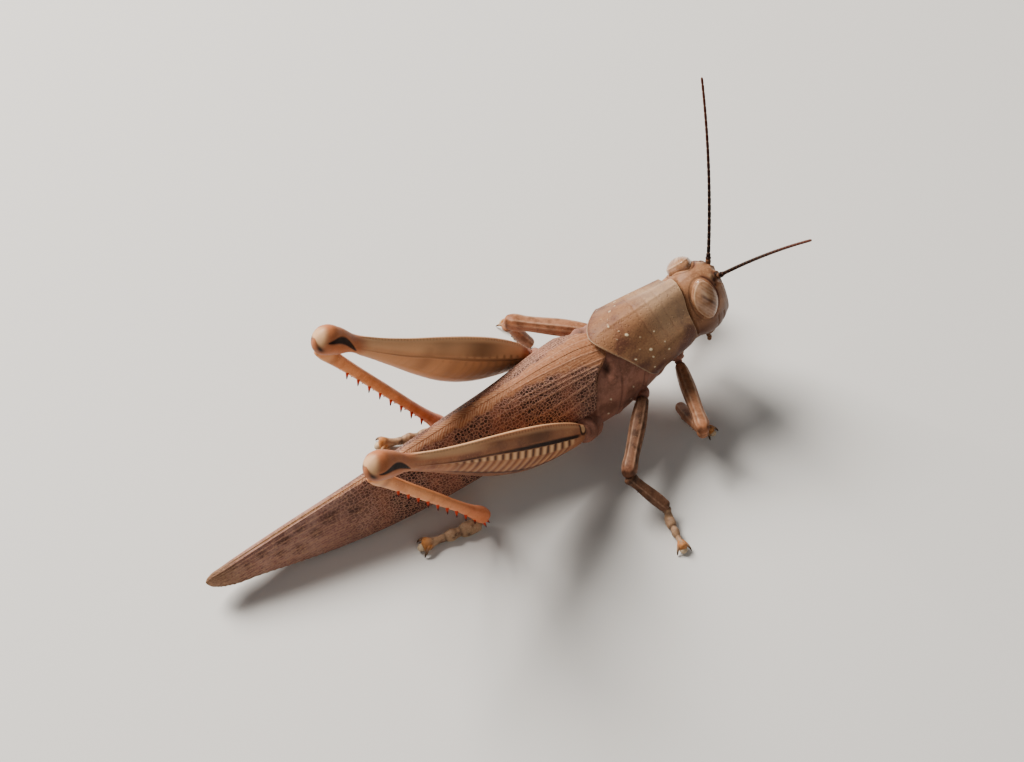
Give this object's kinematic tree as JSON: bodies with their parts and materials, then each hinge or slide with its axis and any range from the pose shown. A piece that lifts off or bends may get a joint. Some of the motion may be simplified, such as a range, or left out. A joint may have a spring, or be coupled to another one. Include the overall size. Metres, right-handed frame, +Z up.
{
  "type": "giant grasshopper",
  "caption": "Life-size adult short-horned grasshopper at rest, wings folded, jumping legs folded high, standing on its feet.",
  "frame": {"origin": "on the floor, under the middle of the whole animal's box", "axes": "+X towards the head along the body, +Y its left side, +Z up"},
  "size_m": [0.0728, 0.0412, 0.0346],
  "materials": {
    "head": "satin",
    "eye": "glossy",
    "antenna": "satin",
    "mouthparts": "matte",
    "pronotum": "satin",
    "thorax": "matte",
    "abdomen": "matte",
    "tegmen": "matte",
    "small_leg": "matte",
    "hind_femur": "matte",
    "hind_tibia": "satin",
    "tarsus": "matte"
  },
  "bodies": {
    "root": {"abdomen": "abdomen", "antenna_left": "antenna", "antenna_right": "antenna", "eye_left": "eye", "eye_right": "eye", "fore_coxa_left": "thorax", "fore_coxa_right": "thorax", "fore_femur_left": "small_leg", "fore_femur_right": "small_leg", "fore_tarsus_left": "tarsus", "fore_tarsus_right": "tarsus", "fore_tibia_left": "small_leg", "fore_tibia_right": "small_leg", "head": "head", "hind_coxa_left": "thorax", "hind_coxa_right": "thorax", "hind_femur_left": "hind_femur", "hind_femur_right": "hind_femur", "hind_tarsus_left": "tarsus", "hind_tarsus_right": "tarsus", "hind_tibia_left": "hind_tibia", "hind_tibia_right": "hind_tibia", "mid_coxa_left": "thorax", "mid_coxa_right": "thorax", "mid_femur_left": "small_leg", "mid_femur_right": "small_leg", "mid_tarsus_left": "tarsus", "mid_tarsus_right": "tarsus", "mid_tibia_left": "small_leg", "mid_tibia_right": "small_leg", "mouthparts": "mouthparts", "ovipositor": "abdomen", "pronotum": "pronotum", "thorax": "thorax", "wing_left": "tegmen", "wing_right": "tegmen"}
  },
  "joints": []
}
